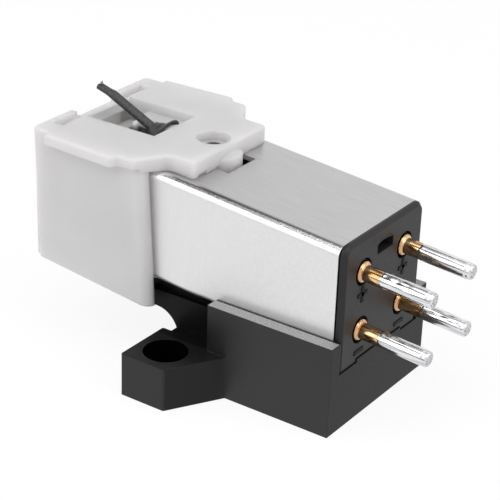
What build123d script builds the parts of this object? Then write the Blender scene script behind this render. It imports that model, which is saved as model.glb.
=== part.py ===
from build123d import *
import os
from math import cos, radians, sin, tan

# Moving-magnet phono cartridge with its removable stylus holder, drawn stylus side up.
# Millimetres. Origin: on the mounting face, midway between the two mounting holes.
# +X runs from the stylus to the terminal pins, +Y across, +Z from the face to the stylus.

# General clearances
FIT = 0.05
GAP = 0.04
# Longer than anything that is cut, and how far one form runs into the one it is fused with
FAR = 30.0
JOIN = 0.2

# Mounting ears and base block
HOLE_SPACING = 12.7
HOLE_R = 1.25
EAR_T = 2.55
EAR_WALL = 0.49
EAR_INNER_WALL = 0.78
EAR_REAR = 1.19
EAR_SLANT_X = 3.02
EAR_FRONT_R = 0.12
EAR_REAR_R = 0.15
EAR_ROOT_R = 0.12
BASE_FRONT = 1.73
BASE_REAR = 9.68
BASE_HALF_W = 4.92
LEDGE_Z = 5.36

# Outer, front and inner faces of an ear, from the wall round its hole
EAR_HALF_W = HOLE_SPACING / 2 + HOLE_R + EAR_WALL
EAR_FRONT = -HOLE_R - EAR_WALL
EAR_INNER = HOLE_SPACING / 2 - HOLE_R - EAR_INNER_WALL

# Web under the front of the can
WEB_HALF_W = 3.7
WEB_FRONT = -1.15
WEB_ARC_TOP = 3.40
WEB_ARC_R = 1.5
WEB_TIP = -3.2
WEB_STEP_Z = 4.42
WEB_NECK_HALF_W = 3.35

# Shield can: a rounded sheet sleeve whose axis falls towards the pins
CAN_TILT = 5.0
CAN_REF_X = -2.0
CAN_TOP_Z = 11.70
CAN_H = 6.62
CAN_HALF_W = 4.09
CAN_R = 0.54
CAN_T = 0.30
CAN_FRONT = -3.40
SLOT_END_X = 0.30
SLOT_HALF_W = 1.32

# Terminal plate and pins. The plate closes the can and stands just inside the base's rear face.
PLATE_SETBACK = 0.06
PLATE_T = 0.40
PLATE_HALF_W = 3.98
PLATE_RIM = 0.20
PLATE_FOOT_Z = 3.48
PLATE_MID_Z = 3.68
PLATE_STEP_Y = 2.31
PLATE_TOP_OVER = 0.06
PLUG_FRONT = 7.45
PIN_Y = 2.08
PIN_UPPER_Z = 8.76
PIN_LOWER_Z = 5.34
PIN_R = 0.45
PIN_TAIL_R = 0.28
PIN_LEN = 4.30
PIN_TAIL = 2.60
PIN_TILT = 4.8
PIN_BEAD_R = 0.62
PIN_BEAD_T = 0.36
PIN_EDGE = 0.09
PIN_WELL_R = 0.78
PIN_WELL_DEPTH = 0.30
PLATE_CORNER_R = 0.62
KEY_SLOT_HALF_W = 0.80
KEY_SLOT_LOW_Z = 9.25
KEY_SLOT_TOP_Z = 9.80
KEY_SLOT_DEPTH = 0.90
KEY_ARCH_R = 2.74
KEY_ARCH_Z = 9.30
KEY_ARCH_DEPTH = 0.17

# Stylus holder (hood, top plate and tongue)
TOP_Z = 12.68
WING_T = 0.66
HOOD_FRONT = -10.48
HOOD_REAR_LOW = -2.38
HOOD_REAR_HIGH = -2.92
HOOD_LOW_FRONT_Z = 4.62
HOOD_LOW_REAR_Z = 3.72
HOOD_HALF_LOW = 4.84
HOOD_HALF_HIGH = 5.14
HOOD_WALL_IN = 4.25
HOOD_FRONT_WALL = 0.60
HOOD_EDGE_R = 0.42
HOOD_REAR_R = 0.60
HOOD_WALL_RISE = 0.25
APRON_X = -10.62
APRON_TOP_Z = 10.46
APRON_HALF_W = 4.70
APRON_RISE = 0.03
APRON_EDGE_R = 0.10
# Outline of the top plate, from the front to the tongue
WING_FRONT_HALF_W = 5.48
RAIL_END_X = -9.20
WING_END_X = -4.42
WING_END_HALF_W = 5.78
SHOULDER_X = -4.25
SHOULDER_HALF_W = 5.34
WAIST_X = -3.20
WAIST_HALF_W = 5.28
TONGUE_START_X = -2.15
TONGUE_START_HALF_W = 3.50
TONGUE_END = -0.48
TONGUE_HALF_W = 3.42
CORNER_R = 0.22
WING_CORNER_R = 0.30
SHOULDER_R = 0.25
WAIST_R = 0.22
TONGUE_ROOT_R = 0.80
LIP_R = 0.20
# The tongue's underside starts this far behind the front edge of the can.
TONGUE_SEAT = 0.35
WINDOW_FRONT = -9.05
WINDOW_REAR = -4.32
WINDOW_HALF_W = 1.95
WELL_WALL = 0.50
WELL_LOW_Z = 10.75
WELL_DEEP_Z = 9.90
WELL_STEP_X = -7.40
WELL_LEDGE_FRONT = -7.70
WELL_LEDGE_LOW_Z = 11.50
WELL_LEDGE_TOP_Z = 12.12
WELL_LEDGE_W = 1.05
HOUSING_HALF_W = 1.20
HOUSING_LOW_Z = 10.55
HOUSING_R = 1.10
HOUSING_FRONT = 0.45
HOUSING_NOSE = 0.50
HOUSING_LIP = 0.12
NOTCH_HALF_W = 1.86
NOTCH_DEPTH = 0.62
POCKET_X = -9.58
POCKET_Y = 2.75
POCKET_L = 0.72
POCKET_W = 2.30
POCKET_DEPTH = 0.40
POCKET_SLOPE = 14.0
STEP_HOLE_X = -1.67
STEP_HOLE_R = 0.98
STEP_HOLE_DEPTH = 0.55
STEP_HOLE_EDGE = 0.10
STEP_BORE_R = 0.50
BOSS_FRONT = -2.00
BOSS_X = -1.19
BOSS_R = 1.25
BOSS_BELOW = 0.90
BOSS_SHOULDER = 0.72
BOSS_SLOPE_H = 0.25
BOSS_TOP_R = 0.68
GATE_INNER_Y = 2.25
GATE_OUTER_Y = 3.02
GATE_DEPTH = 0.12
GATE_H = 0.24

# Cantilever suspension: its axis rises towards the front
ARM_TILT = 24.4
ARM_REF_X = -6.93
ARM_DROP = 0.07
ARM_R = 0.27
ARM_BORE_R = 0.17
PIVOT_X = -4.45
ARM_TUBE_END = 4.80
HEAD_TILT = 15.7
HEAD_NECK = 0.35
HEAD_LEN = 1.02
HEAD_W = 0.50
HEAD_T = 0.32
SLEEVE_R = 0.58
SLEEVE_BORE_R = 0.44
SLEEVE_FRONT = 1.20
SLEEVE_REAR = -0.50
MAGNET_ROOM = 2.75
DAMPER_HALF = 0.30
RUN_FIT = 0.02
HUB_R = 0.36
HUB_FRONT = -1.25
HUB_REAR = -1.75
MAGNET_S = 0.30
MAGNET_LEN = 0.60
HEAD_R = 0.12
TIP_SHANK_R = 0.09
TIP_H = 0.24
TIP_SHARE = 0.30
TIP_POINT_R = 0.012
TIP_BACK = 0.11
HUB_WEB = 0.05
MAGNET_SPLIT = 0.01

# Generator inside the can, in the tilted frame of the can
CORE_Y = 1.60
CORE_T = 0.50
LIMB_H = 0.70
COIL_CLEAR = 0.50
COIL_BETWEEN = 0.54
POLE_W = -0.70
POLE_LOW_W = -1.72
POLE_TIP_U = -0.90
COIL_U0 = 2.30
COIL_U1 = 5.90
YOKE_U = 6.60
BOBBIN_FLANGE = 0.25
COIL_INSET = 0.14
TUBE_WALL = 0.16
CORE_FIT = 0.03
COIL_FIT = 0.01
COIL_R = 0.25
FRAME_T = 0.45
FRAME_BACK = 0.15
FRAME_SLOT_W = -2.60
NOSE_FRONT = -6.60
NOSE_TOP_Z = 10.10
NOSE_HALF_W = 3.68
NOSE_EDGE_R = 0.35
NOSE_CHAMFER = 0.25

# The plate's outer face, and the end of the can in front of it
PLATE_FACE = BASE_REAR - PLATE_SETBACK
CAN_REAR = PLATE_FACE - PLATE_T
# Top of the hood's walls, which run a little way up into the top plate
HOOD_WALL_TOP = TOP_Z - WING_T + HOOD_WALL_RISE
# Two bobbins, one above the other, fill the height inside the can.
BOBBIN_HALF = (CAN_H - 2 * CAN_T - 2 * COIL_CLEAR - COIL_BETWEEN) / 4
COIL_HALF = BOBBIN_HALF - COIL_INSET
UPPER_W = -CAN_T - COIL_CLEAR - BOBBIN_HALF
LOWER_W = -CAN_H + CAN_T + COIL_CLEAR + BOBBIN_HALF

TILT = radians(CAN_TILT)
CAN = Plane(
    origin=(CAN_REF_X, 0, CAN_TOP_Z),
    x_dir=(cos(TILT), 0, -sin(TILT)),
    z_dir=(sin(TILT), 0, cos(TILT)),
)
ARM_A = radians(ARM_TILT)
PIVOT_Z = TOP_Z - ARM_DROP - (PIVOT_X - ARM_REF_X) * tan(ARM_A)
# Local Z of this frame runs along the cantilever to its tip, local Y along +Y.
ARM = Plane(
    origin=(PIVOT_X, 0, PIVOT_Z),
    x_dir=(sin(ARM_A), 0, cos(ARM_A)),
    z_dir=(-cos(ARM_A), 0, sin(ARM_A)),
)
# The cantilever's flattened head is bent a little more level than its tube.
HEAD_A = radians(HEAD_TILT)
HEAD = Plane(
    origin=(PIVOT_X - ARM_TUBE_END * cos(ARM_A), 0, PIVOT_Z + ARM_TUBE_END * sin(ARM_A)),
    x_dir=(sin(HEAD_A), 0, cos(HEAD_A)),
    z_dir=(-cos(HEAD_A), 0, sin(HEAD_A)),
)


def block(x0, x1, y0, y1, z0, z1):
    return Pos((x0 + x1) / 2, (y0 + y1) / 2, (z0 + z1) / 2) * Box(x1 - x0, y1 - y0, z1 - z0)


def can_top(x):
    return CAN_TOP_Z - (x - CAN_REF_X) * tan(TILT)


def can_u(x):
    return (x - CAN_REF_X) / cos(TILT)


def can_block(u0, u1, v0, v1, w0, w1):
    return CAN * block(u0, u1, v0, v1, w0, w1)


def side_prism(points, half_width):
    return extrude(Plane.XZ * Polygon(*points, align=None), amount=half_width, both=True)


def plan_prism(points, z0, z1, radii=None):
    outline = Polygon(*points, align=None)
    for point, radius in (radii or {}).items():
        corner = outline.vertices().sort_by_distance(Vector(*point, 0))[0]
        outline = fillet(corner, radius)
    return Pos(0, 0, z0) * extrude(outline, amount=z1 - z0, dir=(0, 0, 1))


def post(x, y, z0, z1, radius):
    return Pos(x, y, (z0 + z1) / 2) * Cylinder(radius, z1 - z0)


def mirrored(points):
    return list(points) + [(x, -y) for x, y in reversed(points)]


def base():
    body = block(BASE_FRONT, BASE_REAR, -BASE_HALF_W, BASE_HALF_W, 0, LEDGE_Z)
    ear_outline = [
        (EAR_FRONT, EAR_INNER),
        (EAR_FRONT, EAR_HALF_W),
        (EAR_REAR, EAR_HALF_W),
        (EAR_SLANT_X, BASE_HALF_W),
        (EAR_SLANT_X, 0),
        (WEB_FRONT, 0),
        (WEB_FRONT, EAR_INNER),
    ]
    rounds = {
        (EAR_FRONT, EAR_HALF_W): EAR_FRONT_R,
        (EAR_REAR, EAR_HALF_W): EAR_REAR_R,
        (EAR_FRONT, EAR_INNER): EAR_ROOT_R,
    }
    ear = plan_prism(ear_outline, 0, EAR_T, rounds)
    body += ear + mirror(ear, about=Plane.XZ)
    # The web under the can ends in a hollow quarter round above the mounting face.
    web_rear = BASE_FRONT + 1
    arc_x = WEB_FRONT - WEB_ARC_R
    arc_z = WEB_ARC_TOP - WEB_ARC_R
    half_turn = WEB_ARC_R * cos(radians(45))
    wire = Polyline(
        (arc_x, WEB_ARC_TOP),
        (WEB_TIP, WEB_ARC_TOP),
        (WEB_TIP, WEB_STEP_Z),
        (web_rear, WEB_STEP_Z),
        (web_rear, 0),
        (WEB_FRONT, 0),
        (WEB_FRONT, arc_z),
    )
    wire += ThreePointArc((WEB_FRONT, arc_z), (arc_x + half_turn, arc_z + half_turn), (arc_x, WEB_ARC_TOP))
    body += extrude(Plane.XZ * make_face(wire), amount=WEB_HALF_W, both=True)
    neck = [
        (WEB_TIP, WEB_STEP_Z),
        (web_rear, WEB_STEP_Z),
        (web_rear, can_top(web_rear) - CAN_H - GAP),
        (WEB_TIP, can_top(WEB_TIP) - CAN_H - GAP),
    ]
    body += side_prism(neck, WEB_NECK_HALF_W)
    seat_w = CAN_HALF_W + FIT
    seat = can_block(-FAR, FAR, -seat_w, seat_w, -CAN_H - GAP, 1)
    body -= seat & block(-FAR, CAN_REAR + GAP / 2, -FAR, FAR, 0, FAR)
    # Recess behind the can for the terminal plate, with the land that its middle stands on.
    plate_w = PLATE_HALF_W + FIT
    body -= block(CAN_REAR, BASE_REAR + 1, -plate_w, plate_w, PLATE_FOOT_Z - GAP, FAR)
    land_w = PLATE_STEP_Y - FIT
    body += block(CAN_REAR, BASE_REAR, -land_w, land_w, PLATE_FOOT_Z - GAP - JOIN, PLATE_MID_Z - GAP)
    for side in (-1, 1):
        body -= post(0, side * HOLE_SPACING / 2, -1, EAR_T + 1, HOLE_R)
    return body


def can_profile(inset):
    return RectangleRounded(
        2 * (CAN_HALF_W - inset),
        CAN_H - 2 * inset,
        CAN_R - inset,
    )


def can_section():
    return Plane(CAN.origin, x_dir=(0, 1, 0), z_dir=(cos(TILT), 0, -sin(TILT)))


def shield_can():
    section = can_section() * Pos(0, -CAN_H / 2) * (can_profile(0) - can_profile(CAN_T))
    sleeve = extrude(section, amount=FAR, both=True)
    sleeve &= block(CAN_FRONT, CAN_REAR, -FAR, FAR, 0, FAR)
    slot = can_block(-FAR, can_u(SLOT_END_X), -SLOT_HALF_W, SLOT_HALF_W, -CAN_T - JOIN, 1)
    return sleeve - slot


def pin_frame(y, z):
    angle = radians(PIN_TILT)
    return Plane(origin=(PLATE_FACE, y, z), x_dir=(0, 1, 0), z_dir=(cos(angle), 0, -sin(angle)))


def terminal_plate():
    top_z = can_top(CAN_REAR) + PLATE_TOP_OVER
    outline = [
        (-PLATE_HALF_W, PLATE_FOOT_Z),
        (-PLATE_STEP_Y, PLATE_FOOT_Z),
        (-PLATE_STEP_Y, PLATE_MID_Z),
        (PLATE_STEP_Y, PLATE_MID_Z),
        (PLATE_STEP_Y, PLATE_FOOT_Z),
        (PLATE_HALF_W, PLATE_FOOT_Z),
        (PLATE_HALF_W, top_z),
        (-PLATE_HALF_W, top_z),
    ]
    face = Polygon(*outline, align=None)
    for y in (-PLATE_HALF_W, PLATE_HALF_W):
        corner = face.vertices().sort_by_distance(Vector(y, top_z, 0))[0]
        face = fillet(corner, PLATE_CORNER_R)
    cap_front = CAN_REAR + GAP
    cap = Pos(cap_front, 0, 0) * extrude(Plane.YZ * face, amount=PLATE_FACE - cap_front)
    rim_edges = cap.faces().sort_by(Axis.X)[-1].edges()
    cap = chamfer(rim_edges.filter_by(lambda e: e.center().Z > PLATE_FOOT_Z + 0.5), PLATE_RIM)
    # Plug inside the sleeve of the can
    plug = extrude(can_section() * Pos(0, -CAN_H / 2) * can_profile(CAN_T + FIT), amount=FAR)
    plug &= block(PLUG_FRONT, cap_front + JOIN / 2, -FAR, FAR, 0, FAR)
    plate = cap + plug
    # Key slot with an arched finger hollow above it
    plate -= block(
        PLATE_FACE - KEY_SLOT_DEPTH,
        PLATE_FACE + 1,
        -KEY_SLOT_HALF_W,
        KEY_SLOT_HALF_W,
        KEY_SLOT_LOW_Z,
        KEY_SLOT_TOP_Z,
    )
    arch = Pos(PLATE_FACE + KEY_ARCH_R - KEY_ARCH_DEPTH, 0, KEY_ARCH_Z) * Sphere(KEY_ARCH_R)
    plate -= arch & block(0, FAR, -KEY_SLOT_HALF_W, KEY_SLOT_HALF_W, KEY_SLOT_TOP_Z - JOIN, FAR)
    for y in (-PIN_Y, PIN_Y):
        for z in (PIN_UPPER_Z, PIN_LOWER_Z):
            frame = pin_frame(y, z)
            plate -= frame * Pos(0, 0, FAR / 2 - PIN_WELL_DEPTH) * Cylinder(PIN_WELL_R, FAR)
            plate -= frame * Cylinder(PIN_TAIL_R, FAR)
    return plate


def terminal_pin(y, z):
    frame = pin_frame(y, z)
    bead_start = PIN_EDGE - PIN_WELL_DEPTH
    outline = [
        (0, -PIN_TAIL),
        (PIN_TAIL_R, -PIN_TAIL),
        (PIN_TAIL_R, bead_start),
        (PIN_BEAD_R - PIN_EDGE, bead_start),
        (PIN_BEAD_R, bead_start + PIN_EDGE),
        (PIN_R + PIN_EDGE, bead_start + PIN_BEAD_T),
        (PIN_R, bead_start + PIN_BEAD_T + PIN_EDGE),
        (PIN_R, PIN_LEN - 2 * PIN_EDGE),
        (PIN_R - 2 * PIN_EDGE, PIN_LEN),
        (0, PIN_LEN),
    ]
    profile = Plane.XZ * Polygon(*outline, align=None)
    return frame * revolve(profile, Axis.Z)


def holder_outline():
    half = [
        (HOOD_FRONT, WING_FRONT_HALF_W, 0),
        (WING_END_X, WING_END_HALF_W, WING_CORNER_R),
        (SHOULDER_X, SHOULDER_HALF_W, SHOULDER_R),
        (WAIST_X, WAIST_HALF_W, WAIST_R),
        (TONGUE_START_X, TONGUE_START_HALF_W, TONGUE_ROOT_R),
        (TONGUE_END, TONGUE_HALF_W, CORNER_R),
    ]
    points = mirrored([(x, y) for x, y, radius in half])
    radii = {(x, sign * y): radius for x, y, radius in half[1:] for sign in (-1, 1)}
    return points, radii


def hood_form(top):
    rise = (top - HOOD_LOW_REAR_Z) / (HOOD_WALL_TOP - HOOD_LOW_REAR_Z)
    rear_x = HOOD_REAR_LOW + rise * (HOOD_REAR_HIGH - HOOD_REAR_LOW)
    half = HOOD_HALF_LOW + rise * (HOOD_HALF_HIGH - HOOD_HALF_LOW)
    side = [
        (HOOD_FRONT, HOOD_LOW_FRONT_Z),
        (HOOD_REAR_LOW, HOOD_LOW_REAR_Z),
        (rear_x, top),
        (HOOD_FRONT, top),
    ]
    across = Polygon(
        (-HOOD_HALF_LOW, HOOD_LOW_REAR_Z),
        (HOOD_HALF_LOW, HOOD_LOW_REAR_Z),
        (half, top),
        (-half, top),
        align=None,
    )
    form = side_prism(side, FAR) & extrude(Plane.YZ * across, amount=FAR, both=True)
    uprights = form.edges().filter_by(lambda e: abs(e.tangent_at(0.5).Z) > 0.9).sort_by(Axis.X)
    form = fillet(uprights[2:], HOOD_REAR_R)
    uprights = form.edges().filter_by(lambda e: abs(e.tangent_at(0.5).Z) > 0.9).sort_by(Axis.X)
    return fillet(uprights[:2], HOOD_EDGE_R)


def hood_walls():
    apron = block(
        APRON_X,
        HOOD_FRONT + JOIN,
        -APRON_HALF_W,
        APRON_HALF_W,
        HOOD_LOW_FRONT_Z + APRON_RISE,
        APRON_TOP_Z,
    )
    return hood_form(HOOD_WALL_TOP) + fillet(apron.faces().sort_by(Axis.X)[0].edges(), APRON_EDGE_R)


def top_plate(points, radii):
    plate = plan_prism(points, TOP_Z - WING_T, TOP_Z, radii)
    # Ahead of the wings the plate follows the hood's walls, with no ledge between them.
    front = block(-FAR, RAIL_END_X, -FAR, FAR, 0, FAR)
    plate -= front - hood_form(TOP_Z + JOIN)
    return fillet(plate.faces().sort_by(Axis.Z)[-1].edges(), LIP_R)


def tongue_boss():
    boss = post(BOSS_X, 0, 0, TOP_Z - BOSS_SHOULDER, BOSS_R)
    boss += block(BOSS_FRONT, BOSS_X, -BOSS_R, BOSS_R, 0, TOP_Z - BOSS_SHOULDER)
    slope_z = TOP_Z - BOSS_SHOULDER + BOSS_SLOPE_H / 2
    boss += Pos(BOSS_X, 0, slope_z) * Cone(BOSS_R, BOSS_TOP_R, BOSS_SLOPE_H)
    return boss - can_block(-FAR, FAR, -FAR, FAR, -FAR, -BOSS_BELOW)


def stylus_holder():
    points, radii = holder_outline()
    roof = TOP_Z - WING_T
    seat_x = CAN_FRONT + TONGUE_SEAT
    tongue = plan_prism(points, 0, TOP_Z - LIP_R, radii) & block(seat_x, FAR, -FAR, FAR, 0, FAR)
    tongue -= can_block(-FAR, FAR, -FAR, FAR, -FAR, GAP)
    body = hood_walls() + top_plate(points, radii) + tongue
    # Cavity that takes the front of the can and the generator
    inner_x = HOOD_FRONT + HOOD_FRONT_WALL
    body -= block(inner_x, seat_x, -HOOD_WALL_IN, HOOD_WALL_IN, 0, roof)
    body -= can_block(can_u(CAN_FRONT), FAR, -HOOD_WALL_IN, HOOD_WALL_IN, -FAR, GAP)
    # Well round the window, its ledges, and the housing of the suspension sleeve
    well_x = WINDOW_REAR + HOUSING_HALF_W / 4
    well_y = WINDOW_HALF_W + WELL_WALL
    well = block(inner_x - JOIN, well_x, WINDOW_HALF_W, well_y, WELL_LOW_Z, roof)
    well += block(inner_x - JOIN, WELL_STEP_X, WINDOW_HALF_W, well_y, WELL_DEEP_Z, WELL_LOW_Z)
    ledge = block(
        WELL_LEDGE_FRONT,
        WINDOW_REAR,
        WINDOW_HALF_W - WELL_LEDGE_W,
        WINDOW_HALF_W + JOIN,
        WELL_LEDGE_LOW_Z,
        WELL_LEDGE_TOP_Z,
    )
    body += well + mirror(well, about=Plane.XZ)
    body += block(WINDOW_REAR, seat_x, -HOUSING_HALF_W, HOUSING_HALF_W, HOUSING_LOW_Z, roof + JOIN / 2)
    body -= block(WINDOW_FRONT, WINDOW_REAR, -WINDOW_HALF_W, WINDOW_HALF_W, 0, FAR)
    body += ledge + mirror(ledge, about=Plane.XZ)
    nose_z = HOUSING_FRONT + HOUSING_NOSE / 2
    body += along_arm(0, HOUSING_FRONT, HOUSING_R)
    body += ARM * Pos(0, 0, nose_z) * Cone(HOUSING_R, SLEEVE_R + HOUSING_LIP, HOUSING_NOSE)
    # Boss that sits in the slot of the can
    body += tongue_boss()
    # Notch between the two rails at the front, with a sloping pocket behind each rail
    body -= block(-FAR, WINDOW_FRONT + JOIN, -NOTCH_HALF_W, NOTCH_HALF_W, TOP_Z - NOTCH_DEPTH, FAR)
    for side in (-1, 1):
        pocket = Rot(-side * POCKET_SLOPE, 0, 0) * Box(POCKET_L, POCKET_W, 2 * POCKET_DEPTH)
        body -= Pos(POCKET_X, side * POCKET_Y, TOP_Z) * pocket
    # Stepped locating hole in the tongue
    body -= post(STEP_HOLE_X, 0, TOP_Z - STEP_HOLE_DEPTH, FAR, STEP_HOLE_R)
    mouth_h = 2 * STEP_HOLE_EDGE
    body -= Pos(STEP_HOLE_X, 0, TOP_Z) * Cone(STEP_HOLE_R - STEP_HOLE_EDGE, STEP_HOLE_R + STEP_HOLE_EDGE, mouth_h)
    body -= post(STEP_HOLE_X, 0, 0, FAR, STEP_BORE_R)
    # Bore that the suspension sleeve is pressed into
    body -= along_arm(-MAGNET_ROOM, MAGNET_ROOM, SLEEVE_R)
    # Trimmed moulding gate at the near rear corner of the tongue
    gate_z = can_top(TONGUE_END) + GATE_H
    return body - block(TONGUE_END - GATE_DEPTH, FAR, -GATE_OUTER_Y, -GATE_INNER_Y, 0, gate_z)


def along_arm(s0, s1, radius):
    return ARM * Pos(0, 0, (s0 + s1) / 2) * Cylinder(radius, s1 - s0)


def suspension_sleeve():
    return along_arm(SLEEVE_REAR, SLEEVE_FRONT, SLEEVE_R) - along_arm(-FAR, FAR, SLEEVE_BORE_R)


def damper():
    ring = along_arm(-DAMPER_HALF, DAMPER_HALF, SLEEVE_BORE_R - RUN_FIT)
    return ring - along_arm(-FAR, FAR, ARM_R + RUN_FIT)


def cantilever():
    hub_seat = HUB_REAR + HUB_WEB
    head_section = HEAD * Pos(0, 0, HEAD_NECK) * RectangleRounded(HEAD_T, HEAD_W, HEAD_R)
    tube = along_arm(hub_seat, ARM_TUBE_END, ARM_R)
    neck = loft([ARM * Pos(0, 0, ARM_TUBE_END) * Circle(ARM_R), head_section])
    head = extrude(head_section, amount=HEAD_LEN - HEAD_NECK)
    bore = along_arm(hub_seat - 1, ARM_TUBE_END - HEAD_NECK, ARM_BORE_R)
    return tube + neck + head - bore


def magnet_hub():
    return along_arm(HUB_REAR, HUB_FRONT, HUB_R) - along_arm(HUB_REAR + HUB_WEB, HUB_FRONT + 1, ARM_R)


def stylus_tip():
    outline = [
        (0, 0),
        (TIP_SHANK_R, 0),
        (TIP_SHANK_R, TIP_H * TIP_SHARE),
        (TIP_POINT_R, TIP_H),
        (0, TIP_H),
    ]
    shape = revolve(Plane.XZ * Polygon(*outline, align=None), Axis.Z)
    return HEAD * Pos(HEAD_T / 2, 0, HEAD_LEN - TIP_BACK) * Rot(0, 90, 0) * shape


def magnet(side):
    bar = Pos(0, 0, HUB_REAR - MAGNET_LEN / 2) * Box(MAGNET_S, MAGNET_S, MAGNET_LEN)
    return ARM * Pos(0, side * (MAGNET_S / 2 + MAGNET_SPLIT), 0) * bar


def core(side):
    top = UPPER_W
    low = LOWER_W
    half = LIMB_H / 2
    upper = [
        (POLE_TIP_U, POLE_W + half),
        (0.6, POLE_W + half),
        (1.9, top + half),
        (YOKE_U + 0.7, top + half),
        (YOKE_U + 0.7, low - half),
        (1.9, low - half),
        (0.2, POLE_LOW_W - half),
        (POLE_TIP_U, POLE_LOW_W - half),
        (POLE_TIP_U, POLE_LOW_W + half - 0.25),
        (0.5, POLE_LOW_W + half - 0.25),
        (2.1, low + half),
        (YOKE_U, low + half),
        (YOKE_U, top - half),
        (1.6, top - half),
        (0.3, POLE_W - half + 0.25),
        (POLE_TIP_U, POLE_W - half + 0.25),
    ]
    sheet = extrude(Plane.XZ * Polygon(*upper, align=None), amount=CORE_T / 2, both=True)
    return CAN * Pos(0, side * CORE_Y, 0) * sheet


def coil_box(side, w, half_y, half_w, u0, u1):
    return can_block(u0, u1, side * CORE_Y - half_y, side * CORE_Y + half_y, w - half_w, w + half_w)


def bobbin(side, w):
    inner_y = CORE_T / 2 + CORE_FIT
    inner_w = LIMB_H / 2 + CORE_FIT
    tube = coil_box(side, w, inner_y + TUBE_WALL, inner_w + TUBE_WALL, COIL_U0, COIL_U1)
    for u0 in (COIL_U0, COIL_U1 - BOBBIN_FLANGE):
        tube += coil_box(side, w, BOBBIN_HALF, BOBBIN_HALF, u0, u0 + BOBBIN_FLANGE)
    return tube - coil_box(side, w, inner_y, inner_w, COIL_U0 - 1, COIL_U1 + 1)


def coil(side, w):
    inner_y = CORE_T / 2 + CORE_FIT + TUBE_WALL + COIL_FIT
    inner_w = LIMB_H / 2 + CORE_FIT + TUBE_WALL + COIL_FIT
    u0 = COIL_U0 + BOBBIN_FLANGE + COIL_FIT
    u1 = COIL_U1 - BOBBIN_FLANGE - COIL_FIT
    winding = coil_box(side, w, COIL_HALF, COIL_HALF, u0, u1)
    axis = CAN.x_dir
    winding = fillet(winding.edges().filter_by(lambda e: abs(e.tangent_at(0.5).dot(axis)) > 0.9), COIL_R)
    return winding - coil_box(side, w, inner_y, inner_w, u0 - 1, u1 + 1)


def generator_nose():
    inset = CAN_T + FIT
    frame_x = CAN_FRONT + FRAME_BACK
    frame = extrude(can_section() * Pos(0, -CAN_H / 2) * can_profile(inset), amount=FAR, both=True)
    frame &= block(frame_x, frame_x + FRAME_T, -FAR, FAR, 0, FAR)
    frame -= can_block(-FAR, FAR, -SLOT_HALF_W, SLOT_HALF_W, FRAME_SLOT_W, 1)
    floor = can_top(CAN_FRONT) - CAN_H + inset + CORE_FIT
    nose = block(NOSE_FRONT, frame_x + JOIN, -NOSE_HALF_W, NOSE_HALF_W, floor, NOSE_TOP_Z)
    nose = fillet(nose.edges().filter_by(Axis.X), NOSE_EDGE_R)
    frame += chamfer(nose.faces().sort_by(Axis.X)[0].edges(), NOSE_CHAMFER)
    half_t = CORE_T / 2 + CORE_FIT
    for side in (-1, 1):
        y = side * CORE_Y
        low = POLE_LOW_W - LIMB_H
        frame -= can_block(can_u(CAN_FRONT), FAR, y - half_t, y + half_t, low, 0)
    return frame


def save(name, shape):
    export_step(shape, f"parts/{name}.step")


os.makedirs("parts", exist_ok=True)
save("body_base", base())
save("shield_can", shield_can())
save("terminal_plate", terminal_plate())
PINS = {
    "pin_upper_left": (-PIN_Y, PIN_UPPER_Z),
    "pin_upper_right": (PIN_Y, PIN_UPPER_Z),
    "pin_lower_left": (-PIN_Y, PIN_LOWER_Z),
    "pin_lower_right": (PIN_Y, PIN_LOWER_Z),
}
for pin_name, (pin_y, pin_z) in PINS.items():
    save(pin_name, terminal_pin(pin_y, pin_z))
for side_name, side_sign in (("left", -1), ("right", 1)):
    save(f"core_{side_name}", core(side_sign))
    save(f"magnet_{side_name}", magnet(side_sign))
    for level, level_w in (("upper", UPPER_W), ("lower", LOWER_W)):
        save(f"bobbin_{level}_{side_name}", bobbin(side_sign, level_w))
        save(f"coil_{level}_{side_name}", coil(side_sign, level_w))
save("generator_nose", generator_nose())
save("stylus_holder", stylus_holder())
save("suspension_sleeve", suspension_sleeve())
save("damper", damper())
save("magnet_hub", magnet_hub())
save("cantilever", cantilever())
save("stylus_tip", stylus_tip())
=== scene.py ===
"""Phono cartridge with a slide-on stylus holder: its finishes, small pieces, studio and camera."""

import logging
import math
from dataclasses import dataclass, field
from enum import Enum

import bmesh
import bpy
from mathutils import Matrix, Vector, noise


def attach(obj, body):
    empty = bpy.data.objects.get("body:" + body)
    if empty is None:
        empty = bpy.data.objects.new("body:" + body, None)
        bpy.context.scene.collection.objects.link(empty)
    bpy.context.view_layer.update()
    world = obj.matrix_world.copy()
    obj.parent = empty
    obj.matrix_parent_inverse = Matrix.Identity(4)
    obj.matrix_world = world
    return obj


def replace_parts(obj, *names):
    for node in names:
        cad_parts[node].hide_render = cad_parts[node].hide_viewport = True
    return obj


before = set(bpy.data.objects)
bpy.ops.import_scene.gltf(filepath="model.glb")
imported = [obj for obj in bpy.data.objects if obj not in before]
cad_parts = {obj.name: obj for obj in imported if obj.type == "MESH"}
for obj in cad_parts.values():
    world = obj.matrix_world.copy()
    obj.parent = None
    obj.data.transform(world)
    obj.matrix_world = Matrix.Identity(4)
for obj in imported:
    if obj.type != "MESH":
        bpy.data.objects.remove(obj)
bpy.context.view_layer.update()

LOG = logging.getLogger("cartridge")
MM = 0.001
HALF_TURN_STEPS = 24
# The mix node's colour sockets go by number, because its sockets for plain values have the same names.
FIRST, SECOND, MIXED = 6, 7, 2
# Nearly all of a noise lies between these two values.
NOISE_RANGE = {"From Min": 0.3, "From Max": 0.7}


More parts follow.
